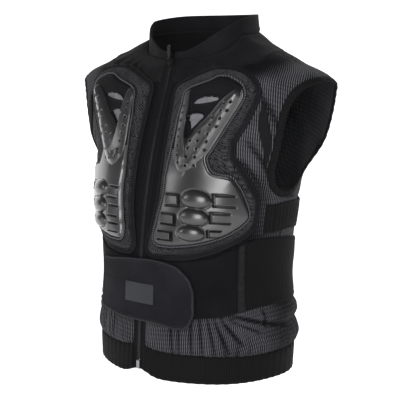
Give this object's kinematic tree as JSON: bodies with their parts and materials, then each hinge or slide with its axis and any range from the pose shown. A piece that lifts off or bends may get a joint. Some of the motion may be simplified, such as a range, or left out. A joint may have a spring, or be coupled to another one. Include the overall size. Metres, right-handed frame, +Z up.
{
  "type": "motorcycle armour vest",
  "caption": "Sleeveless zipped mesh vest with stand collar, moulded chest plates on foam pads, a wide belt with a wrap-over flap, a gathered skirt and a ribbed hem band.",
  "frame": {"origin": "midway between the shoulders, level with the front of the neck opening, where the wearer's shoulders carry the vest", "axes": "+X to the wearer's left, -Y forward out of the chest, +Z up"},
  "size_m": [0.4548, 0.2436, 0.5076],
  "materials": {
    "mesh": "open knitted polyester mesh, vertical ribs",
    "jersey": "smooth black stretch cloth",
    "webbing": "woven tape and twisted cord",
    "air_mesh": "three-layer spacer mesh over foam",
    "shell": "moulded black plastic, satin to gloss",
    "elastic": "ribbed black elastic",
    "loop": "brushed loop cloth",
    "patch": "matt dark grey, bare",
    "zip_tape": "woven black tape",
    "zip_teeth": "moulded black teeth",
    "black_metal": "black enamel on die-cast zinc",
    "silver": "bare pressed metal"
  },
  "bodies": {
    "vest": {"front_panel_left": "mesh", "front_panel_right": "mesh", "back_panel": "mesh", "neck_yoke": "jersey", "collar": "jersey", "armhole_binding_left": "elastic", "armhole_binding_right": "elastic", "side_strip_left": "webbing", "side_strip_right": "webbing", "side_strap_left": "elastic", "side_strap_right": "elastic", "pad_border_left": "jersey", "pad_border_right": "jersey", "chest_pad_left": "air_mesh", "chest_pad_right": "air_mesh", "plate_piping_left": "webbing", "plate_piping_right": "webbing", "chest_plate_left": "shell", "chest_plate_right": "shell", "belt_panel_left": "loop", "belt_panel_right": "loop", "belt_bone_left": "webbing", "belt_bone_right": "webbing", "belt_back": "elastic", "belt_flap": "loop", "belt_label": "patch", "skirt_left": "mesh", "skirt_right": "mesh", "skirt_back": "mesh", "hem_band": "elastic", "zip_tape_left": "zip_tape", "zip_tape_right": "zip_tape", "zip_chain": "zip_teeth", "zip_box": "silver", "zip_slider": "black_metal"},
    "zip_pull": {"zip_pull": "black_metal"}
  },
  "joints": [
    {"name": "pull_swing", "type": "hinge", "parent": "vest", "child": "zip_pull", "pos_m": [0, -0.06182, -0.00762], "axis": [1, 0, 0], "range_deg": [-20, 150]}
  ]
}
